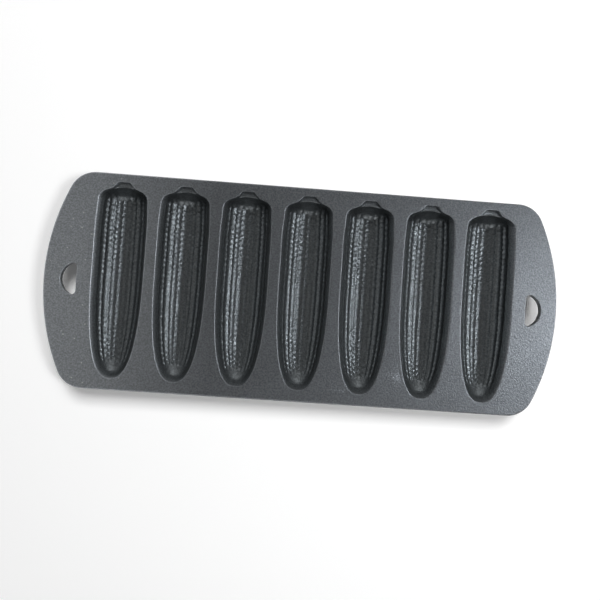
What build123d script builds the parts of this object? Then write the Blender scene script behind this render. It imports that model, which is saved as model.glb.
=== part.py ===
from build123d import *
from math import acos, cos, degrees, radians, sin, sqrt
import os

# A cast iron corn stick pan: a flat deck with seven cob-shaped cups side by side and an arched
# ear with a D-shaped hang hole at each end. Millimetres, +X along the pan, +Y towards the stem
# ends of the cobs, +Z up. The origin is the middle of the plane that the cups stand on.

# Deck
deck_thickness = 4.0
deck_top_round = 1.2
deck_bottom_round = 0.8
back_margin = 5.6
front_margin = 7.9
web_width = 2.38

# Ears, each from its seam with the deck to the top of its arch
ear_length = 26.06
ear_arc_radius = 145.0
ear_corner_radius = 18.0
ear_land = 2.5

# Hang holes, each a little less than a half round with its straight side towards the cups
hole_setback = 4.76
hole_radius = 11.2
hole_flat_offset = 0.9
hole_corner_round = 2.6
hole_edge_round = 0.5

# Cob mouth in plan; each setback is measured from the end of the stem
cob_count = 7
cob_length = 129.7
cob_half_width = 17.0
stem_end_half_width = 3.9
stem_foot_half_width = 7.2
stem_corner_round = 1.5
stem_foot_round = 4.0
shoulder_crown_setback = 1.1
shoulder_corner_setback = 7.5
shoulder_corner_half_width = 15.97
shoulder_corner_round = 7.0
widest_back_setback = 26.0
widest_front_setback = 58.0
tip_fullness_share = 2.55
tip_point_shares = (0.42, 0.68, 0.88)
mouth_round = 0.7

# Shallow stem and smooth drafted band between the mouth and the kernels
stem_depth = 2.2
stem_draft_share = 0.6
band_depth = 4.9
band_inset = 2.0
end_inset_share = 0.35

# Kernel bed, a half round about an axis that runs below the deck's top
bed_axis_drop = 2.0
bed_inset = 2.2
bed_back_setback = 8.4
bed_back_radius_loss = 0.9
kernel_rows = 8
kernel_pitch = 3.6
kernel_dip = 0.9
kernel_ridge_dip = 0.3
smooth_tip_length = 9.3
shoulder_bed_shares = (0.20, 0.42, 0.70)
bed_rise_share = 0.85
tip_fall_shares = (0.25, 0.50, 0.72, 0.89, 1.0)
tip_end_share = 1.15

# Casting wall under the cups
wall = 3.5
end_wall = 3.0
rim_land = 2.4
foot_cut = 0.3

# Places that follow from the sizes
drawing_tolerance_share = 1e-6
cob_pitch = 2 * (cob_half_width + rim_land) + web_width
seam_x = (cob_count - 1) / 2 * cob_pitch + cob_half_width + rim_land + ear_land
pan_length = 2 * (seam_x + ear_length)
pan_width = cob_length + back_margin + front_margin
outer_radius = cob_half_width - bed_inset + wall
pan_height = bed_axis_drop + outer_radius - foot_cut
underside_z = pan_height - deck_thickness
bed_axis_z = pan_height - bed_axis_drop
band_foot_drop = band_depth - bed_axis_drop
stem_y = pan_width / 2 - back_margin
tip_y = stem_y - cob_length
shoulder_crown_y = stem_y - shoulder_crown_setback
shoulder_corner_y = stem_y - shoulder_corner_setback
shoulder_slope = (shoulder_crown_y - shoulder_corner_y) / shoulder_corner_half_width
widest_back_y = stem_y - widest_back_setback
widest_front_y = stem_y - widest_front_setback
bed_back_y = stem_y - bed_back_setback
bed_front_y = tip_y + smooth_tip_length
hole_side_x = seam_x + hole_setback
reach = pan_length


def near(a, b):
    """Whether two places are the same within the drawing tolerance."""
    return abs(a - b) < pan_length * drawing_tolerance_share


def side_half_width(y, inset):
    """Half the width of the mouth beside the cob at y, with the outline drawn in by inset."""
    full = cob_half_width - inset
    if y >= widest_back_y:
        fall = (y - widest_back_y) / (shoulder_corner_y - widest_back_y)
        return full - fall * (cob_half_width - shoulder_corner_half_width)
    if y >= widest_front_y:
        return full
    along = (widest_front_y - y) / (widest_front_y - tip_y - inset)
    return full * (1 - min(along, 1) ** tip_fullness_share) ** (1 / tip_fullness_share)


def mouth_plan(inset, end_inset, stem=True):
    """The cob's outline in plan, with its stem or without.

    It is drawn in by inset, and by end_inset at the stem end, or grown where these are negative.
    """
    crown_y = shoulder_crown_y - end_inset
    corner_half = shoulder_corner_half_width - inset
    corner = (corner_half, crown_y - shoulder_slope * corner_half)
    back = (cob_half_width - inset, widest_back_y)
    front = (cob_half_width - inset, widest_front_y)
    tip = (0, tip_y + inset)
    ys = [widest_front_y - share * (widest_front_y - tip[1]) for share in tip_point_shares]
    curve = [front] + [(side_half_width(y, inset), y) for y in ys] + [tip]
    rounds = [(corner[1], shoulder_corner_round * corner_half / shoulder_corner_half_width)]
    if stem:
        draft = stem_draft_share * inset if inset > 0 else inset
        end_half = stem_end_half_width - draft
        foot_half = stem_foot_half_width - draft
        end = (end_half, stem_y - end_inset)
        foot = (foot_half, crown_y - shoulder_slope * foot_half)
        shoulder = [Line((0, end[1]), end), Line(end, foot), Line(foot, corner)]
        rounds.append((end[1], stem_corner_round * end_half / stem_end_half_width))
        rounds.append((foot[1], stem_foot_round * stem_foot_half_width / foot_half))
    else:
        shoulder = [Line((0, crown_y), corner)]
    half = shoulder + [Line(corner, back), Line(back, front), Spline(*curve, tangents=[(0, -1), (-1, 0)])]
    other = [edge.mirror(Plane.YZ) for edge in half]
    plan = Sketch() + Face(Wire(half + other))
    for y, radius in rounds:
        corners = [v for v in plan.vertices() if near(v.Y, y) and not near(v.X, 0)]
        plan = fillet(corners, radius)
    return plan


def plate_plan():
    """The whole deck in plan: two straight sides and two arched ears with round corners."""
    half = pan_width / 2
    corner_x = pan_length / 2 - ear_arc_radius + sqrt(ear_arc_radius**2 - half**2)
    edges = [
        Line((-corner_x, half), (corner_x, half)),
        ThreePointArc((corner_x, half), (pan_length / 2, 0), (corner_x, -half)),
        Line((corner_x, -half), (-corner_x, -half)),
        ThreePointArc((-corner_x, -half), (-pan_length / 2, 0), (-corner_x, half)),
    ]
    plan = Sketch() + Face(Wire(edges))
    return fillet(plan.vertices(), ear_corner_radius)


def hole_plan(side):
    """One D-shaped hang hole in plan; side is 1 for the right ear and -1 for the left."""
    disc = Sketch() + Pos(-hole_flat_offset, 0) * Circle(hole_radius)
    half = Sketch() + Pos(hole_radius / 2, 0) * Rectangle(hole_radius, 2 * hole_radius)
    plan = disc & half
    plan = fillet([v for v in plan.vertices() if near(v.X, 0)], hole_corner_round)
    turn = 0 if side > 0 else 180
    return Pos(side * hole_side_x, 0) * Rot(0, 0, turn) * plan


def deck_solid(plan):
    """A plan made into a solid as thick as the deck, from its underside to its top."""
    return Pos(0, 0, underside_z) * extrude(plan, deck_thickness, dir=(0, 0, 1))


def bed_radius(y):
    """Radius of the kernel bed at y, which follows the side of the mouth."""
    radius = side_half_width(y, bed_inset)
    start = (widest_back_y + bed_back_y) / 2
    if y > start:
        radius -= bed_back_radius_loss * ((y - start) / (bed_back_y - start)) ** 2
    return radius


def bed_section(y, radius, dip):
    """One slice across the kernel bed: a scallop for each row, closed by a roof in the band."""
    sweep = 2 * degrees(acos(bed_rise_share * band_foot_drop / radius))
    step = sweep / kernel_rows

    def place(angle, length):
        return (length * sin(radians(angle)), y, bed_axis_z - length * cos(radians(angle)))

    edges = []
    for row in range(kernel_rows):
        low = row * step - sweep / 2
        middle = place(low + step / 2, radius + dip)
        edges.append(ThreePointArc(place(low, radius), middle, place(low + step, radius)))
    end = place(sweep / 2, radius)
    roof_z = pan_height - band_depth / 2
    right = (end[0] / 2, y, roof_z)
    left = (-end[0] / 2, y, roof_z)
    edges += [Line(end, right), Line(right, left), Line(left, (-end[0], y, end[2]))]
    return Face(Wire(edges))


def kernel_bed():
    """The kernel-dimpled space of one cob, from its steep shoulder to its smooth tip."""
    full = bed_radius(widest_front_y)
    slices = []
    for share in shoulder_bed_shares:
        x = share * (shoulder_corner_half_width - bed_inset)
        y = shoulder_crown_y - end_inset_share * bed_inset - shoulder_slope * x
        slices.append(bed_section(y, sqrt(x**2 + band_foot_drop**2), 0))
    kernels = round((bed_back_y - bed_front_y) / kernel_pitch)
    length = (bed_back_y - bed_front_y) / kernels
    for half in range(2 * kernels + 1):
        y = bed_back_y - half * length / 2
        radius = bed_radius(y)
        dip = (kernel_dip if half % 2 else kernel_ridge_dip) * radius / full
        if half in (0, 2 * kernels):
            dip = 0
        slices.append(bed_section(y, radius, dip))
    end_part = (tip_end_share * band_foot_drop / full) ** tip_fullness_share
    reach_forward = (widest_front_y - tip_y - bed_inset) * (1 - end_part) ** (1 / tip_fullness_share)
    tip_length = bed_front_y - widest_front_y + reach_forward
    for along in tip_fall_shares:
        y = bed_front_y - along * tip_length
        slices.append(bed_section(y, bed_radius(y), 0))
    return loft(slices, ruled=True)


def band_level(depth, stem):
    """The band's outline at one depth, as a face in its place."""
    inset = band_inset * depth / band_depth
    plan = Pos(0, 0, pan_height - depth) * mouth_plan(inset, end_inset_share * inset, stem)
    return plan.faces()[0]


def cob_cavity():
    """The whole hollow of one cob: the shallow stem, the smooth drafted band and the kernel bed."""
    upper = loft([band_level(0, True), band_level(stem_depth, True)], ruled=True)
    lower = loft([band_level(stem_depth, False), band_level(band_depth, False)], ruled=True)
    return Part() + upper + lower + kernel_bed()


def cup_hump():
    """The outside of one cup below the deck: half of a turned cob, cut flat to stand on."""
    plan = mouth_plan(bed_inset - wall, end_inset_share * bed_inset - end_wall)
    keep = Sketch() + Pos(reach / 2, 0) * Rectangle(reach, 2 * reach)
    hump = revolve((plan & keep).faces()[0], Axis.Y, 180)
    under_deck = Pos(0, 0, underside_z / 2) * Box(reach, reach, underside_z)
    return (Pos(0, 0, bed_axis_z) * hump) & under_deck


def cob_cup():
    """One cup at the middle of the pan: its rim, its wall and its kernel-dimpled hollow."""
    rim = deck_solid(mouth_plan(-rim_land, -rim_land))
    cup = Part() + rim + cup_hump() - cob_cavity()
    top = cup.faces().filter_by(Axis.Z).sort_by(Axis.Z)[-1]
    return fillet(top.inner_wires()[0].edges(), mouth_round)


def plate():
    """The deck with its ears as cast in one, before the cups are let in."""
    body = deck_solid(plate_plan())
    body = fillet(body.edges().group_by(Axis.Z)[-1], deck_top_round)
    body = fillet(body.edges().group_by(Axis.Z)[0], deck_bottom_round)
    for side in (-1, 1):
        body = body - deck_solid(hole_plan(side))
    flats = body.faces().filter_by(Axis.Z).sort_by(Axis.Z)
    brims = [edge for face in (flats[0], flats[-1]) for wire in face.inner_wires() for edge in wire.edges()]
    return fillet(brims, hole_edge_round)


def cup_places():
    """The middle of each cup along the pan, from left to right."""
    first = -(cob_count - 1) / 2 * cob_pitch
    return [first + number * cob_pitch for number in range(cob_count)]


def deck_and_ears():
    """The deck with an opening for each cup, and the two ears, cut apart at the seams."""
    whole = plate()
    opening = deck_solid(mouth_plan(-rim_land, -rim_land))
    deck = whole & Box(2 * seam_x, reach, reach)
    for x in cup_places():
        deck = deck - Pos(x, 0, 0) * opening
    ears = {}
    for name, side in (("left_end_ear", -1), ("right_end_ear", 1)):
        ears[name] = whole & Pos(side * (seam_x + reach / 2), 0, 0) * Box(reach, reach, reach)
    return deck, ears


def main():
    """Builds every node and writes each to its own STEP file."""
    os.makedirs("parts", exist_ok=True)
    deck, nodes = deck_and_ears()
    nodes["deck_plate"] = deck
    cup = cob_cup()
    for number, x in enumerate(cup_places(), start=1):
        nodes[f"cob_cup_{number}"] = Pos(x, 0, 0) * cup
    for name, shape in nodes.items():
        solid = shape.solid()
        print(name, round(solid.volume), "mm3")
        export_step(solid, f"parts/{name}.step")


main()
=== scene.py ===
import logging
from dataclasses import dataclass, field
from enum import Enum
from math import acos, asin, cos, hypot, pi, radians, sin, tan

import bmesh
import bpy
from mathutils import Matrix, Vector, noise
from mathutils.bvhtree import BVHTree


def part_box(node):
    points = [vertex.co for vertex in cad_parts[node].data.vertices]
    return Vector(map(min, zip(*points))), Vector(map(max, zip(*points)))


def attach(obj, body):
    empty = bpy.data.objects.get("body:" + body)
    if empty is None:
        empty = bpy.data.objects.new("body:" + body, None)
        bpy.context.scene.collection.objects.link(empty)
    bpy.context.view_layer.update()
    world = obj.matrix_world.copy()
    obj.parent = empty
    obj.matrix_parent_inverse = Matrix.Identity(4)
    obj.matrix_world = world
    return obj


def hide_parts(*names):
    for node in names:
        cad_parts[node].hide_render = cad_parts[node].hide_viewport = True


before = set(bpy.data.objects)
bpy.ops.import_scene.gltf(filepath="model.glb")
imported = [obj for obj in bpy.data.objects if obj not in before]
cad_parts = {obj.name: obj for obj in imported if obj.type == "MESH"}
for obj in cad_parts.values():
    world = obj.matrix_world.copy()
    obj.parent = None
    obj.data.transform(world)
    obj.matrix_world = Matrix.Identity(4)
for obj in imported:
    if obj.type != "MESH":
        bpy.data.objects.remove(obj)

# A cast iron corn stick pan on a white table. Metres, +X along the pan, +Y towards the stem ends
# of the cobs, +Z up. The deck and the ears are smoothed copies of their nodes. Each cup is a new
# skin that has the kernels and the unevenness of the casting in its mesh.

MM = 0.001
CUP_COUNT = 7
MERGE_WITHIN = 0.002 * MM
SLIVER_WITHIN = 0.001 * MM
FLAT_WITHIN = radians(0.5)
SHARP_FROM = radians(50)
LOG = logging.getLogger("corn_stick_pan")
Point = tuple[float, float]


class Side(Enum):
    """Which half of a cob a column of the casting lies on, as the sign of its X."""

    LEFT = -1
    RIGHT = 1


class Skin(Enum):
    """The stretches of a cup's skin, from the middle of the hollow round to the foot."""

    BED = "kernel bed"
    BAND = "drafted band and stem floor"
    LIP = "round lip"
    LAND = "flat rim land"
    HUMP = "outer hump"


class Falls(Enum):
    """What a lamp gives: plain light and shadow, or the sheen that it draws on iron."""

    ON_TABLE = "light and shadow"
    AS_SHEEN = "sheen on the iron"


# How far each stretch takes part in the unevenness of the casting
SKIN_UNEVENNESS = {Skin.BED: 1.0, Skin.BAND: 0.5, Skin.LIP: 0.0, Skin.LAND: 0.0, Skin.HUMP: 1.0}


def linear(hex_code: str) -> tuple[float, float, float, float]:
    """Turns an sRGB hex colour into the linear colour that a shader socket takes.

    Args:
        hex_code: Six hex digits, red first.

    Returns:
        Linear red, green, blue and an alpha of 1.
    """
    parts = [int(hex_code[i : i + 2], 16) / 255 for i in (0, 2, 4)]
    flat = [p / 12.92 if p <= 0.04045 else ((p + 0.055) / 1.055) ** 2.4 for p in parts]
    return (*flat, 1.0)


def rounded_corner(
    before: Vector, corner: Vector, after: Vector, radius: float, steps: int
) -> list[Vector]:
    """Rounds one corner of a flat path.

    Args:
        before: A point on the run that comes into the corner.
        corner: The sharp corner.
        after: A point on the run that leaves it.
        radius: Radius of the rounding.
        steps: How many steps the arc has.

    Returns:
        The arc's points, from its tangent point on the first run to the one on the second.
    """
    into = (before - corner).normalized()
    out = (after - corner).normalized()
    half = into.angle(out) / 2
    centre = corner + (into + out).normalized() * radius / sin(half)
    start = corner + into * radius / tan(half) - centre
    turn = pi - 2 * half
    if into.x * out.y - into.y * out.x > 0:
        turn = -turn
    points = []
    for step in range(steps + 1):
        angle = turn * step / steps
        points.append(centre + Matrix.Rotation(angle, 2) @ start)
    return points


def run_to(path: list[Vector], end: Vector, steps: int) -> None:
    """Adds a straight run of evenly spaced points to a path, up to but without its end.

    Args:
        path: The path, which grows.
        end: Where the run ends.
        steps: How many steps the run has.
    """
    start = path[-1].copy()
    for step in range(1, steps):
        path.append(start.lerp(end, step / steps))


@dataclass(frozen=True)
class CobOutline:
    """The plan of one cob mouth, in metres. Setbacks are measured from the end of the stem."""

    length: float
    half_width: float
    stem_y: float
    stem_end_half_width: float = 3.9 * MM
    stem_foot_half_width: float = 7.2 * MM
    stem_corner_round: float = 2.5 * MM
    stem_foot_round: float = 6.5 * MM
    crown_setback: float = 1.1 * MM
    corner_setback: float = 7.5 * MM
    corner_half_width: float = 15.97 * MM
    corner_round: float = 7.0 * MM
    widest_back_setback: float = 26.0 * MM
    widest_front_setback: float = 58.0 * MM
    tip_fullness: float = 2.55
    stem_draft: float = 0.6
    end_draft: float = 0.35
    stem_end_steps: int = 7
    stem_corner_steps: int = 6
    stem_side_steps: int = 4
    stem_foot_steps: int = 7
    shoulder_steps: int = 12
    corner_steps: int = 10
    back_steps: int = 34
    straight_steps: int = 60
    tip_steps: int = 150

    @property
    def crown_y(self) -> float:
        """Where the two shoulder lines would meet on the middle line."""
        return self.stem_y - self.crown_setback

    @property
    def slope(self) -> float:
        """How far the shoulder falls for each metre that it goes sideways."""
        return (self.corner_setback - self.crown_setback) / self.corner_half_width

    @property
    def shoulder_start(self) -> int:
        """Number of the first station on the straight shoulder."""
        to_stem_side = self.stem_end_steps + self.stem_corner_steps
        return to_stem_side + self.stem_side_steps + self.stem_foot_steps

    def half(self, inset: float, end_growth: float | None = None) -> list[Vector]:
        """Traces the right half of the outline, drawn in by inset or grown by a negative one.

        Args:
            inset: How far the outline is drawn in.
            end_growth: How far the stem end grows, where this differs from the sides.

        Returns:
            Points from the stem's end to the tip, always as many and in matching places.
        """
        draft = self.stem_draft * inset if inset > 0 else inset
        back_in = self.end_draft * inset if inset > 0 else inset
        if end_growth is not None:
            back_in = -end_growth
        end_half = self.stem_end_half_width - draft
        foot_half = self.stem_foot_half_width - draft
        corner_half = self.corner_half_width - inset
        end = Vector((end_half, self.stem_y - back_in))
        foot = Vector((foot_half, self.crown_y - back_in - self.slope * foot_half))
        corner = Vector((corner_half, self.crown_y - back_in - self.slope * corner_half))
        full = self.half_width - inset
        back = Vector((full, self.stem_y - self.widest_back_setback))
        front = Vector((full, self.stem_y - self.widest_front_setback))
        middle = Vector((0, end.y))
        end_round = self.stem_corner_round * end_half / self.stem_end_half_width
        foot_round = self.stem_foot_round * self.stem_foot_half_width / foot_half
        shoulder_round = self.corner_round * corner_half / self.corner_half_width
        end_arc = rounded_corner(middle, end, foot, end_round, self.stem_corner_steps)
        foot_arc = rounded_corner(end, foot, corner, foot_round, self.stem_foot_steps)
        corner_arc = rounded_corner(foot, corner, back, shoulder_round, self.corner_steps)
        path = [middle]
        for arc, steps in (
            (end_arc, self.stem_end_steps),
            (foot_arc, self.stem_side_steps),
            (corner_arc, self.shoulder_steps),
            ([back], self.back_steps),
            ([front], self.straight_steps),
        ):
            run_to(path, arc[0], steps)
            path += arc
        reach = front.y - (self.stem_y - self.length) - inset
        for step in range(1, self.tip_steps + 1):
            gone = sin(pi / 2 * step / self.tip_steps)
            x = full * max(1 - gone**self.tip_fullness, 0) ** (1 / self.tip_fullness)
            path.append(Vector((x, front.y - reach * gone)))
        path[-1].x = 0
        return path

    def half_across_stem(self, inset: float) -> list[Vector]:
        """Traces the same half outline, with the shoulder carried to the middle in a round crown.

        Args:
            inset: How far the outline is drawn in.

        Returns:
            As many points as half gives, in matching places.
        """
        path = self.half(inset)
        start = self.shoulder_start
        first = path[start].copy()
        for number in range(start):
            x = first.x * number / start
            path[number] = Vector((x, first.y + self.slope * (first.x**2 - x**2) / (2 * first.x)))
        return path


@dataclass(frozen=True)
class KernelPattern:
    """The dimples that the cast kernels leave in the bed, in metres.

    The ridges, the sway and the bulge are shares: of the depth, and of the width of a row.
    """

    rows: int = 8
    pitch: float = 3.5 * MM
    depth: float = 0.62 * MM
    cross_ridge: float = 0.42
    side_cross_ridge: float = 0.3
    cross_power: float = 0.6
    start_y: float = 60.6 * MM
    end_y: float = -54.6 * MM
    fade: float = 1.6 * MM
    wander: float = 0.25 * MM
    wander_length: float = 9.0 * MM
    wander_seed: Point = (11.3, 5.1)
    sway: float = 0.03
    sway_length: float = 5.0 * MM
    sway_seed: Point = (7.9, 2.3)
    bulge: float = 0.06
    depth_spread: float = 0.08

    def depth_at(self, across: float, y: float, cup: int) -> float:
        """Depth of the dimples at one point of the bed.

        Args:
            across: Place across the bed, from -1 at its left edge to 1 at its right edge.
            y: Place along the cob.
            cup: Number of the cup, so that no two cups are quite alike.

        Returns:
            How far the surface lies behind the crests of the ridges.
        """
        place = (across + 1) / 2 * self.rows
        seed, other = self.wander_seed
        drift = noise.noise(Vector((cup * seed, y / self.wander_length, cup * other)))
        phase = (self.start_y - y - self.wander * drift) / self.pitch
        seed, other = self.sway_seed
        bend = noise.noise(Vector((cup * seed, y / self.sway_length, round(place) * other)))
        bead = cos(2 * pi * phase) * (1 if round(place) % 2 else -1)
        place += (self.sway * bend + self.bulge * bead) * max(1 - across**4, 0)
        row = min(int(place), self.rows - 1)
        in_row = place - row
        along = phase + 0.5 * (row % 2)
        kernel = int(along // 1)
        in_kernel = along - kernel
        bowl = max(4 * in_row * (1 - in_row), 0)
        cross = (4 * in_kernel * (1 - in_kernel)) ** self.cross_power
        ridge = self.cross_ridge + self.side_cross_ridge * across**4
        size = 1 + self.depth_spread * noise.cell(Vector((row + 0.5, kernel + 0.5, cup + 0.5)))
        inside = min(self.start_y - y, y - self.end_y)
        fade = min(max(inside / self.fade, 0), 1)
        return self.depth * size * fade * bowl * (1 - ridge * (1 - cross))


@dataclass
class CobCup:
    """One cob-shaped cup: a closed shell with its land, lip, band, kernel bed and outer hump."""

    number: int
    middle_x: float
    top_z: float
    underside_z: float
    outline: CobOutline
    kernels: KernelPattern = field(default_factory=KernelPattern)
    land: float = 2.4 * MM
    lip_round: float = 0.7 * MM
    band_inset: float = 2.49 * MM
    band_depth: float = 4.9 * MM
    stem_depth: float = 2.2 * MM
    crown_round: float = 0.45 * MM
    crown_start: float = 0.6
    axis_drop: float = 2.0 * MM
    dome_setback: float = 9.0 * MM
    dome_radius: float = 14.2 * MM
    hump_grow: float = 1.19 * MM
    hump_end_grow: float = 2.2 * MM
    bed_columns: int = 40
    hump_columns: int = 18
    lip_steps: int = 5
    upper_steps: int = 4
    floor_steps: int = 7
    lower_steps: int = 4
    change_stations: int = 6
    even_margin: float = 0.4 * MM
    upright_within: float = 0.01
    level_within: float = 0.01 * MM
    cast_grain: float = 0.035 * MM
    cast_grain_size: float = 1.3 * MM
    cast_swell: float = 0.07 * MM
    cast_swell_size: float = 9.0 * MM

    @property
    def node(self) -> str:
        """Name of the frame's node that this cup stands for."""
        return f"cob_cup_{self.number}"

    def lip(self) -> list[Point]:
        """Works out the loops from the land over the round lip.

        Returns:
            For each loop, how far it is drawn in and how deep it lies.
        """
        outer = Vector((-self.land, 0))
        rim = Vector((0, 0))
        foot = Vector((self.band_inset, self.band_depth))
        path = [outer, outer.lerp(rim, 0.5)]
        path += rounded_corner(outer, rim, foot, self.lip_round, self.lip_steps)
        return [(p.x, p.y) for p in path]

    def wall_ring(self, step: int) -> list[Vector]:
        """Works out one loop of the wall below the lip, with the stem's shallow floor in it.

        Args:
            step: Number of the loop, from 1 just below the lip.

        Returns:
            The right half of the loop, from the stem to the tip.
        """
        lip_foot = self.lip()[-1][1]
        steps = self.upper_steps + self.floor_steps + self.lower_steps
        even = lip_foot + (self.band_depth - lip_foot) * step / steps
        on_floor = min(max((step - self.upper_steps) / self.floor_steps, 0), 1)
        past_start = max(on_floor - self.crown_start, 0) / (1 - self.crown_start)
        rolled = self.stem_depth + self.crown_round * past_start * on_floor
        depth = lip_foot + (self.stem_depth - lip_foot) * min(step / self.upper_steps, 1)
        if on_floor > 0:
            below = max(step - self.upper_steps - self.floor_steps, 0) / self.lower_steps
            depth = rolled + (self.band_depth - rolled) * below
        draft = self.band_inset / self.band_depth
        cob = self.outline.half(draft * even)
        stem = self.outline.half(draft * depth)
        across = self.outline.half_across_stem(draft * depth)
        ring = []
        for number, (on_cob, on_stem, on_crown) in enumerate(zip(cob, stem, across)):
            change = min(max((number - self.outline.shoulder_start) / self.change_stations, 0), 1)
            change = change * change * (3 - 2 * change)
            point = on_stem.lerp(on_crown, on_floor).lerp(on_cob, change)
            ring.append(Vector((point.x, point.y, self.top_z - depth - (even - depth) * change)))
        return ring

    def rings(self) -> list[tuple[Skin, list[Vector]]]:
        """Works out the right half of every ring of the skin, from the bed's middle to the foot.

        Returns:
            For each column of the skin, its kind and its points from the stem to the tip.
        """
        rings: list[tuple[Skin, list[Vector]]] = []
        drop = self.band_depth - self.axis_drop
        axis_z = self.top_z - self.axis_drop
        edge = self.outline.half_across_stem(self.band_inset)
        for column in range(self.bed_columns + 1):
            share = column / self.bed_columns
            ring = []
            for p in edge:
                radius = hypot(p.x, drop)
                angle = share * acos(drop / radius)
                ring.append(Vector((radius * sin(angle), p.y, axis_z - radius * cos(angle))))
            rings.append((Skin.BED, ring))
        for step in range(self.upper_steps + self.floor_steps + self.lower_steps - 1, 0, -1):
            rings.append((Skin.BAND, self.wall_ring(step)))
        for inset, depth in reversed(self.lip()):
            skin = Skin.LAND if depth == 0 else Skin.LIP
            path = self.outline.half(inset)
            rings.append((skin, [Vector((p.x, p.y, self.top_z - depth)) for p in path]))
        grown = self.outline.half(-self.land)
        rings.append((Skin.LAND, [Vector((p.x, p.y, self.underside_z)) for p in grown]))
        hump_drop = axis_z - self.underside_z
        hump = self.outline.half(-self.hump_grow, self.hump_end_grow)
        for column in range(self.hump_columns, -1, -1):
            share = column / self.hump_columns
            ring = []
            for p in hump:
                radius = hypot(p.x, hump_drop)
                angle = share * acos(hump_drop / radius)
                z = max(axis_z - radius * cos(angle), 0)
                ring.append(Vector((radius * sin(angle), p.y, z)))
            rings.append((Skin.HUMP, ring))
        return rings

    def wall_tree(self) -> BVHTree:
        """Finds the upright faces round the node's land, which the deck meets.

        Returns:
            A search tree of those faces.
        """
        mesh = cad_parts[self.node].data
        upright = []
        for face in mesh.polygons:
            highest = max(mesh.vertices[v].co.z for v in face.vertices)
            if abs(face.normal.z) < self.upright_within and highest > self.top_z - self.level_within:
                upright.append(list(face.vertices))
        return BVHTree.FromPolygons([v.co for v in mesh.vertices], upright)

    def dimple(self, across: float, point: Vector) -> Vector:
        """Moves one point of the bed outwards, into its kernel.

        Args:
            across: Place across the bed, from -1 to 1.
            point: The point on the smooth bed.

        Returns:
            The moved point.
        """
        axis = Vector((0, point.y, self.top_z - self.axis_drop))
        arm = point - axis
        if point.y > self.outline.stem_y - self.dome_setback:
            full_angle = acos((self.band_depth - self.axis_drop) / self.dome_radius)
            across = asin(min(max(point.x / self.dome_radius, -1), 1)) / full_angle
            across = min(max(across, -1), 1)
        full = self.outline.half_width - self.band_inset
        depth = self.kernels.depth_at(across, point.y, self.number) * min(arm.length / full, 1)
        return axis + arm * (1 + depth / arm.length)

    def cast(self, mesh: bmesh.types.BMesh, mark: bmesh.types.BMLayerItem) -> None:
        """Gives the skin the uneven surface that a sand mould leaves, along its normals.

        Args:
            mesh: The closed skin of the cup.
            mark: Its layer that says how far each vertex takes part.
        """
        mesh.normal_update()
        for vertex in mesh.verts:
            weight = vertex[mark]
            if weight:
                grain = self.cast_grain * noise.noise(vertex.co / self.cast_grain_size)
                swell = self.cast_swell * noise.noise(vertex.co / self.cast_swell_size)
                vertex.co += vertex.normal * weight * (grain + swell)
                vertex.co.z = min(max(vertex.co.z, 0), self.top_z)

    def build(self) -> bpy.types.Object:
        """Wraps one grid round the whole cup and closes it along the middle.

        Returns:
            The finished cup, in its place.
        """
        rings = self.rings()
        last = len(rings) - 1
        stations = len(rings[0][1]) - 1
        tree = self.wall_tree()
        seam_columns = (last - self.hump_columns - 2, last - self.hump_columns - 1)
        mesh = bmesh.new()
        bmesh.ops.create_grid(mesh, x_segments=2 * last, y_segments=stations, size=1)
        mark = mesh.verts.layers.float.new("weight")
        for vertex in mesh.verts:
            column = round((vertex.co.x + 1) / 2 * 2 * last) - last
            station = round((vertex.co.y + 1) / 2 * stations)
            side = Side.RIGHT if column >= 0 else Side.LEFT
            skin, ring = rings[abs(column)]
            point = ring[station].copy()
            point.x *= side.value
            if skin is Skin.BED:
                point = self.dimple(column / self.bed_columns, point)
            point.x += self.middle_x
            if abs(column) in seam_columns:
                near = tree.find_nearest(point)[0]
                point.x, point.y = near.x, near.y
            vertex[mark] = SKIN_UNEVENNESS[skin]
            to_edge = min(point.z, self.underside_z - point.z)
            if skin is Skin.HUMP and to_edge < self.even_margin:
                vertex[mark] = 0
            vertex.co = point
        bmesh.ops.remove_doubles(mesh, verts=mesh.verts, dist=MERGE_WITHIN)
        bmesh.ops.dissolve_degenerate(mesh, edges=mesh.edges, dist=SLIVER_WITHIN)
        bmesh.ops.recalc_face_normals(mesh, faces=mesh.faces)
        self.cast(mesh, mark)
        mesh.verts.layers.float.remove(mesh.verts.layers.float["weight"])
        return finish_piece(mesh, f"{self.node}_casting", self.node)


def finish_piece(mesh: bmesh.types.BMesh, name: str, node: str) -> bpy.types.Object:
    """Turns a finished mesh into a piece of the pan that stands for one node.

    Args:
        mesh: The mesh, in place; it is freed here.
        name: The piece's name.
        node: The frame's node that it stands for.

    Returns:
        The piece, smooth except at its sharp edges, riding on the root body.
    """
    data = bpy.data.meshes.new(name)
    mesh.to_mesh(data)
    mesh.free()
    data.shade_smooth()
    data.set_sharp_from_angle(angle=SHARP_FROM)
    piece = bpy.data.objects.new(name, data)
    bpy.context.scene.collection.objects.link(piece)
    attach(piece, "root")
    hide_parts(node)
    return piece


@dataclass
class DeckPart:
    """A flat stretch of the casting, the deck or one ear, made from a copy of its node."""

    node: str
    flat_weight: int = 100

    def build(self) -> bpy.types.Object:
        """Merges a copy of the node's loose triangles and smooths its rounded edges.

        Returns:
            The finished piece.
        """
        mesh = bmesh.new()
        mesh.from_mesh(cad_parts[self.node].data)
        bmesh.ops.remove_doubles(mesh, verts=mesh.verts, dist=MERGE_WITHIN)
        bmesh.ops.dissolve_limit(
            mesh,
            angle_limit=FLAT_WITHIN,
            verts=mesh.verts,
            edges=mesh.edges,
            use_dissolve_boundaries=False,
        )
        piece = finish_piece(mesh, f"{self.node}_casting", self.node)
        weighted = piece.modifiers.new("flat faces stay flat", "WEIGHTED_NORMAL")
        weighted.keep_sharp = True
        weighted.weight = self.flat_weight
        return piece


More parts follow.
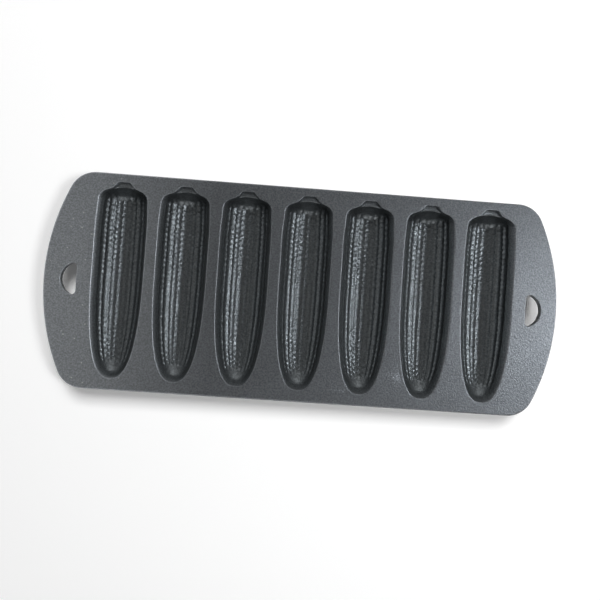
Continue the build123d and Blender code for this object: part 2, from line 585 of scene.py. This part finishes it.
@dataclass(frozen=True)
class SeasonedIron:
    """Sand-cast grey iron, oiled and baked black: dark and pebbly, with a broad oily sheen."""

    # The baked oil gives the iron its blackness and its sheen. It lies thicker in the hollows, which
    # are glossier for it; their blacker colour is partly that oil and partly painted shade. The deck
    # is painted paler towards its left end, a painted sheen standing in for light from the left.
    iron: str = "696C6F"
    # The hollows' colour is darker partly for the thicker oil and partly as painted shade
    hollow_oil_and_painted_shade: str = "5C6062"
    fleck: str = "8E9090"
    metallic: float = 0.8
    deck_roughness: float = 0.44
    hollow_roughness: float = 0.32
    roughness_spread: float = 0.015
    # Moulding sand has grains of about 0.3 mm. A pixel of the render covers about 0.7 mm of the
    # deck, so the pebbles are drawn wider and higher than real ones.
    pebble_mm: float = 1.1
    pebble_height_mm: float = 0.8
    pebble_span: Point = (0.35, 0.65)
    deck_bump: float = 0.25
    hollow_bump: float = 0.3
    grain_contrast: float = 0.22
    # Where the painted sheen on the left end of the deck starts, and where it is strongest
    painted_sheen_start_x_mm: float = -60.0
    painted_sheen_end_x_mm: float = -140.0
    painted_sheen_gain: float = 1.9
    # Patches of thicker and thinner oil
    swell_mm: float = 14.0
    swell_span: Point = (0.3, 0.7)
    # Pale specks of about 0.7 mm across, spread over the left end of the deck
    fleck_spacing_mm: float = 5.0
    fleck_radius_share: float = 0.07
    fleck_edge: float = 1.6
    fleck_start_x_mm: float = -95.0
    fleck_end_x_mm: float = -115.0
    # Depths below the deck's top between which the deck's finish becomes the hollows' finish
    worn_depth_mm: float = 0.3
    hollow_depth_mm: float = 3.0

    def build(self, top_z: float) -> bpy.types.Material:
        """Makes the material.

        Args:
            top_z: Height of the deck's top.

        Returns:
            The material, patterned on Object coordinates.
        """
        material = bpy.data.materials.new("sand_cast_seasoned_iron")
        material.use_nodes = True
        tree = material.node_tree
        shader = tree.nodes["Principled BSDF"]
        place = add_node(tree, "ShaderNodeTexCoord").outputs["Object"]
        split = add_node(tree, "ShaderNodeSeparateXYZ", links={"Vector": place}).outputs
        depth = add_node(
            tree,
            "ShaderNodeMapRange",
            {
                "From Min": top_z - self.hollow_depth_mm * MM,
                "From Max": top_z - self.worn_depth_mm * MM,
                "To Min": 1.0,
                "To Max": 0.0,
            },
            {"Value": split["Z"]},
        ).outputs["Result"]
        pebble = add_node(
            tree,
            "ShaderNodeTexNoise",
            {"Scale": 1 / (self.pebble_mm * MM), "Detail": 2.0, "Roughness": 0.55},
            {"Vector": place},
        ).outputs["Fac"]
        self.add_grain(tree, shader, pebble, depth)
        self.add_gloss(tree, shader, place, depth)
        colour = self.add_colour(tree, place, split["X"], depth)
        tone = self.add_tone(tree, pebble, split["X"], depth)
        toned = add_node(
            tree,
            "ShaderNodeVectorMath",
            links={"Vector": colour, "Scale": tone},
            settings={"operation": "SCALE"},
        )
        tree.links.new(toned.outputs["Vector"], shader.inputs["Base Color"])
        shader.inputs["Metallic"].default_value = self.metallic
        return material

    def add_grain(
        self,
        tree: bpy.types.NodeTree,
        shader: bpy.types.Node,
        pebble: bpy.types.NodeSocket,
        depth: bpy.types.NodeSocket,
    ) -> None:
        """Gives the skin the pebbles of the sand mould, stronger in the hollows than on the deck.

        Args:
            tree: The material's node tree.
            shader: The material's shader.
            pebble: The pebbles' pattern.
            depth: 0 on the deck and 1 in the hollows.
        """
        strength = add_node(
            tree,
            "ShaderNodeMapRange",
            {"To Min": self.deck_bump, "To Max": self.hollow_bump},
            {"Value": depth},
        ).outputs["Result"]
        bump = add_node(
            tree,
            "ShaderNodeBump",
            {"Distance": self.pebble_height_mm * MM},
            {"Height": pebble, "Strength": strength},
        )
        tree.links.new(bump.outputs["Normal"], shader.inputs["Normal"])

    def add_gloss(
        self,
        tree: bpy.types.NodeTree,
        shader: bpy.types.Node,
        place: bpy.types.NodeSocket,
        depth: bpy.types.NodeSocket,
    ) -> None:
        """Gives the skin its sheen, a little uneven, and glossier in the hollows.

        Args:
            tree: The material's node tree.
            shader: The material's shader.
            place: Object coordinates.
            depth: 0 on the deck and 1 in the hollows.
        """
        swell = add_node(
            tree,
            "ShaderNodeTexNoise",
            {"Scale": 1 / (self.swell_mm * MM), "Detail": 2.0},
            {"Vector": place},
        ).outputs["Fac"]
        rough = add_node(
            tree,
            "ShaderNodeMapRange",
            {"To Min": self.deck_roughness, "To Max": self.hollow_roughness},
            {"Value": depth},
        ).outputs["Result"]
        low, high = self.swell_span
        uneven = add_node(
            tree,
            "ShaderNodeMapRange",
            {
                "From Min": low,
                "From Max": high,
                "To Min": -self.roughness_spread,
                "To Max": self.roughness_spread,
            },
            {"Value": swell},
        ).outputs["Result"]
        both = add_node(
            tree, "ShaderNodeMath", links={0: rough, 1: uneven}, settings={"operation": "ADD"}
        )
        tree.links.new(both.outputs["Value"], shader.inputs["Roughness"])

    def add_tone(
        self,
        tree: bpy.types.NodeTree,
        pebble: bpy.types.NodeSocket,
        across: bpy.types.NodeSocket,
        depth: bpy.types.NodeSocket,
    ) -> bpy.types.NodeSocket:
        """Works out how light the colour is: darker between pebbles, and paler towards the deck's
        left end, a painted sheen.

        Args:
            tree: The material's node tree.
            pebble: The pebbles' pattern.
            across: Object X.
            depth: 0 on the deck and 1 in the hollows.

        Returns:
            The socket that gives the factor for the colour.
        """
        low, high = self.pebble_span
        shade = add_node(
            tree,
            "ShaderNodeMapRange",
            {
                "From Min": low,
                "From Max": high,
                "To Min": 1 - self.grain_contrast,
                "To Max": 1 + self.grain_contrast,
            },
            {"Value": pebble},
        ).outputs["Result"]
        # Painted sheen: the deck's colour grows paler towards its left end, in place of light from
        # the left
        painted_sheen = add_node(
            tree,
            "ShaderNodeMapRange",
            {
                "From Min": self.painted_sheen_start_x_mm * MM,
                "From Max": self.painted_sheen_end_x_mm * MM,
                "To Min": 1.0,
                "To Max": self.painted_sheen_gain,
            },
            {"Value": across},
        ).outputs["Result"]
        # The painted sheen on the deck, fading out into the hollows
        painted_sheen_on_deck = add_node(
            tree, "ShaderNodeMapRange", {"To Max": 1.0}, {"Value": depth, "To Min": painted_sheen}
        ).outputs["Result"]
        return add_node(
            tree, "ShaderNodeMath", links={0: shade, 1: painted_sheen_on_deck}, settings={"operation": "MULTIPLY"}
        ).outputs["Value"]

    def add_colour(
        self,
        tree: bpy.types.NodeTree,
        place: bpy.types.NodeSocket,
        across: bpy.types.NodeSocket,
        depth: bpy.types.NodeSocket,
    ) -> bpy.types.NodeSocket:
        """Works out the colour: blacker in the hollows, partly oil and partly painted shade, with a
        few pale flecks at the left end.

        Args:
            tree: The material's node tree.
            place: Object coordinates.
            across: Object X.
            depth: 0 on the deck and 1 in the hollows.

        Returns:
            The socket that gives the colour.
        """
        # Blacker in the hollows: partly thicker oil, partly painted shade
        base = add_node(
            tree,
            "ShaderNodeMix",
            {"A": linear(self.iron), "B": linear(self.hollow_oil_and_painted_shade)},
            {"Factor": depth},
            {"data_type": "RGBA"},
        ).outputs["Result"]
        cells = add_node(
            tree,
            "ShaderNodeTexVoronoi",
            {"Scale": 1 / (self.fleck_spacing_mm * MM)},
            {"Vector": place},
        ).outputs["Distance"]
        near = add_node(
            tree,
            "ShaderNodeMapRange",
            {
                "From Min": self.fleck_radius_share,
                "From Max": self.fleck_radius_share * self.fleck_edge,
                "To Min": 1.0,
                "To Max": 0.0,
            },
            {"Value": cells},
        ).outputs["Result"]
        side = add_node(
            tree,
            "ShaderNodeMapRange",
            {"From Min": self.fleck_start_x_mm * MM, "From Max": self.fleck_end_x_mm * MM},
            {"Value": across},
        ).outputs["Result"]
        on_deck = add_node(
            tree, "ShaderNodeMapRange", {"To Max": 0.0}, {"Value": depth, "To Min": side}
        ).outputs["Result"]
        fleck = add_node(
            tree, "ShaderNodeMath", links={0: near, 1: on_deck}, settings={"operation": "MULTIPLY"}
        ).outputs["Value"]
        return add_node(
            tree,
            "ShaderNodeMix",
            {"B": linear(self.fleck)},
            {"Factor": fleck, "A": base},
            {"data_type": "RGBA"},
        ).outputs["Result"]


def add_node(
    tree: bpy.types.NodeTree,
    kind: str,
    values: dict[str | int, object] | None = None,
    links: dict[str | int, bpy.types.NodeSocket] | None = None,
    settings: dict[str, object] | None = None,
) -> bpy.types.Node:
    """Adds one node to a tree, with its settings, its values and its links.

    Args:
        tree: The node tree.
        kind: The node's type.
        values: Values for its sockets, each by the socket's name, or by its number where
            several have one name.
        links: Outputs of other nodes, by the name or the number of the socket that takes each.
        settings: The node's own properties, by name.

    Returns:
        The node.
    """
    node = tree.nodes.new(kind)
    for name, value in (settings or {}).items():
        setattr(node, name, value)
    sockets: dict[str | int, bpy.types.NodeSocket] = {}
    for number, socket in enumerate(s for s in node.inputs if s.enabled):
        sockets[number] = socket
        sockets.setdefault(socket.name, socket)
    for key, value in (values or {}).items():
        sockets[key].default_value = value
    for key, output in (links or {}).items():
        tree.links.new(output, sockets[key])
    return node


@dataclass(frozen=True)
class SoftLamp:
    """One square soft lamp that points at the pan.

    Its level is how bright it alone makes a white table, where 1 is white.
    """

    name: str
    place: tuple[float, float, float]
    size: float
    level: float
    colour: str
    falls: Falls

    @property
    def power(self) -> float:
        """Its power in watts, at which it alone lights a white table to its level."""
        away = Vector(self.place)
        return self.level * pi**2 * away.length_squared * away.length / away.z

    def build(self) -> None:
        """Hangs the lamp."""
        data = bpy.data.lights.new(self.name, "AREA")
        data.shape = "SQUARE"
        data.size = self.size
        data.energy = self.power
        data.color = linear(self.colour)[:3]
        lamp = bpy.data.objects.new(self.name, data)
        away = Vector(self.place)
        turn = away.to_track_quat("Z", "Y").to_matrix().to_4x4()
        lamp.matrix_world = Matrix.Translation(away) @ turn
        lamp.visible_glossy = self.falls is Falls.AS_SHEEN
        lamp.visible_diffuse = self.falls is Falls.ON_TABLE
        bpy.context.scene.collection.objects.link(lamp)


@dataclass
class Studio:
    """A plain white table under soft light, seen from almost straight above.

    The table glows a little where it is near and fully where it is far. The backdrop is white up
    to the first height of backdrop_top and gone at the second, both as sines of the angle above
    the table. Both show only to the camera and in what mirrors or lets light through.
    """

    top_z: float
    camera_x: float = -10.58 * MM
    camera_y: float = -9.57 * MM
    camera_rise: float = 318.75 * MM
    camera_turn: Point = (0.0176, -0.0272)
    camera_roll: float = 0.0703
    focal_pixels: float = 479.18
    photo_pixels: float = 600.0
    sensor: float = 36.0
    white: str = "FFFFFF"
    table: str = "FAFAFA"
    table_roughness: float = 0.9
    floor_size: float = 6.0
    floor_glow: float = 0.08
    far_start: float = 0.5
    far_end: float = 1.5
    backdrop_top: Point = (0.42, 0.60)
    world_level: float = 0.045
    lamps: tuple[SoftLamp, ...] = (
        SoftLamp("top_softbox", (0.17, 1.05, 1.90), 0.90, 0.68, "FFFFFF", Falls.ON_TABLE),
        SoftLamp("side_softbox", (0.66, -0.06, 0.95), 0.25, 0.34, "FFFFFF", Falls.ON_TABLE),
        SoftLamp("right_softbox", (0.86, 0.00, 0.86), 0.17, 0.23, "F6FAFF", Falls.AS_SHEEN),
        SoftLamp("edge_softbox", (0.88, 0.00, 0.44), 0.40, 0.12, "F6FAFF", Falls.AS_SHEEN),
        SoftLamp("high_softbox", (0.38, -0.05, 1.00), 0.30, 0.02, "F6FAFF", Falls.AS_SHEEN),
        SoftLamp("left_softbox", (-0.80, -0.05, 0.95), 0.60, 0.03, "FFFAF2", Falls.AS_SHEEN),
        SoftLamp("low_softbox", (-0.80, 0.10, 0.40), 0.70, 0.04, "F6FAFF", Falls.AS_SHEEN),
        SoftLamp("front_softbox", (0.05, -0.75, 0.60), 0.60, 0.13, "FFFFFF", Falls.AS_SHEEN),
        SoftLamp("back_softbox", (0.05, 0.75, 0.60), 0.60, 0.08, "FFFFFF", Falls.AS_SHEEN),
    )

    def add_camera(self) -> None:
        """Sets the camera at the photo's viewpoint, from a fit to the pan's outlines."""
        data = bpy.data.cameras.new("camera")
        data.sensor_width = self.sensor
        data.lens = self.focal_pixels / self.photo_pixels * self.sensor
        camera = bpy.data.objects.new("camera", data)
        turn = Vector((*self.camera_turn, self.camera_roll))
        place = Vector((self.camera_x, self.camera_y, self.top_z + self.camera_rise))
        turned = Matrix.Rotation(turn.length, 4, turn.normalized())
        camera.matrix_world = Matrix.Translation(place) @ turned
        bpy.context.scene.collection.objects.link(camera)
        bpy.context.scene.camera = camera

    def seen_directly(self, tree: bpy.types.NodeTree) -> bpy.types.NodeSocket:
        """Finds the rays that show the background: the camera's, and mirrored or passed ones.

        Args:
            tree: Node tree that gets the nodes.

        Returns:
            A socket that is 1 for those rays and 0 for the rest.
        """
        ray = add_node(tree, "ShaderNodeLightPath").outputs
        passed = add_node(
            tree,
            "ShaderNodeMath",
            links={0: ray["Is Glossy Ray"], 1: ray["Is Transmission Ray"]},
            settings={"operation": "MAXIMUM"},
        ).outputs["Value"]
        return add_node(
            tree,
            "ShaderNodeMath",
            links={0: ray["Is Camera Ray"], 1: passed},
            settings={"operation": "MAXIMUM"},
        ).outputs["Value"]

    def add_floor(self) -> None:
        """Lays the white table that the pan stands on."""
        mesh = bmesh.new()
        bmesh.ops.create_grid(mesh, x_segments=1, y_segments=1, size=self.floor_size / 2)
        data = bpy.data.meshes.new("table_top")
        mesh.to_mesh(data)
        mesh.free()
        table = bpy.data.objects.new("table_top", data)
        bpy.context.scene.collection.objects.link(table)
        data.materials.append(self.table_finish())

    def table_finish(self) -> bpy.types.Material:
        """Makes the matt white of the table, which takes the pan's shadow.

        Returns:
            The material.
        """
        # A table painted matt white, which gives no reflection, only the shadow
        material = bpy.data.materials.new("white_table")
        material.use_nodes = True
        tree = material.node_tree
        shader = tree.nodes["Principled BSDF"]
        shader.inputs["Base Color"].default_value = linear(self.table)
        shader.inputs["Roughness"].default_value = self.table_roughness
        shader.inputs["Specular IOR Level"].default_value = 0.0
        shader.inputs["Emission Color"].default_value = linear(self.white)
        place = add_node(tree, "ShaderNodeTexCoord").outputs["Object"]
        away = add_node(
            tree, "ShaderNodeVectorMath", links={"Vector": place}, settings={"operation": "LENGTH"}
        ).outputs["Value"]
        level = add_node(
            tree,
            "ShaderNodeMapRange",
            {
                "From Min": self.far_start,
                "From Max": self.far_end,
                "To Min": self.floor_glow,
                "To Max": 1.0,
            },
            {"Value": away},
        ).outputs["Result"]
        glow = add_node(
            tree,
            "ShaderNodeMath",
            links={0: self.seen_directly(tree), 1: level},
            settings={"operation": "MULTIPLY"},
        ).outputs["Value"]
        tree.links.new(glow, shader.inputs["Emission Strength"])
        return material

    def add_world(self) -> None:
        """Sets a white backdrop round the table, and a dim, even surrounding above it."""
        world = bpy.data.worlds.new("pale_room")
        world.use_nodes = True
        tree = world.node_tree
        heading = add_node(tree, "ShaderNodeTexCoord").outputs["Generated"]
        height = add_node(tree, "ShaderNodeSeparateXYZ", links={"Vector": heading}).outputs["Z"]
        full, gone = self.backdrop_top
        backdrop = add_node(
            tree,
            "ShaderNodeMapRange",
            {"From Min": full, "From Max": gone, "To Min": 1.0, "To Max": 0.0},
            {"Value": height},
        ).outputs["Result"]
        level = add_node(
            tree,
            "ShaderNodeMath",
            {2: self.world_level},
            {0: self.seen_directly(tree), 1: backdrop},
            {"operation": "MULTIPLY_ADD"},
        ).outputs["Value"]
        background = tree.nodes["Background"]
        background.inputs["Color"].default_value = linear(self.white)
        tree.links.new(level, background.inputs["Strength"])
        bpy.context.scene.world = world

    def build(self) -> None:
        """Sets up the camera, the lamps, the table and the surrounding."""
        self.add_camera()
        for lamp in self.lamps:
            lamp.build()
        self.add_floor()
        self.add_world()
        bpy.context.scene.view_settings.view_transform = "Standard"


def build_cups(top_z: float, underside_z: float) -> list[bpy.types.Object]:
    """Builds the seven cups in their places, with their sizes read from the frame.

    Args:
        top_z: Height of the deck's top.
        underside_z: Height of the deck's underside.

    Returns:
        The cups, from left to right.
    """
    cups = []
    land = CobCup.land
    for number in range(1, CUP_COUNT + 1):
        low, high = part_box(f"cob_cup_{number}")
        outline = CobOutline(
            length=high.y - low.y - 2 * land,
            half_width=(high.x - low.x) / 2 - land,
            stem_y=high.y - land,
        )
        cup = CobCup(number, (low.x + high.x) / 2, top_z, underside_z, outline)
        cups.append(cup.build())
    return cups


def main() -> None:
    """Builds the stage and the pan, and dresses it."""
    logging.basicConfig(level=logging.INFO, format="%(name)s %(message)s")
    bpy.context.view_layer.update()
    low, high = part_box("deck_plate")
    Studio(top_z=high.z).build()
    pieces = [DeckPart(node).build() for node in ("deck_plate", "left_end_ear", "right_end_ear")]
    pieces += build_cups(high.z, low.z)
    iron = SeasonedIron().build(high.z)
    for piece in pieces:
        piece.data.materials.append(iron)
        LOG.info("%s: %d faces", piece.name, len(piece.data.polygons))


if __name__ == "__main__":
    main()
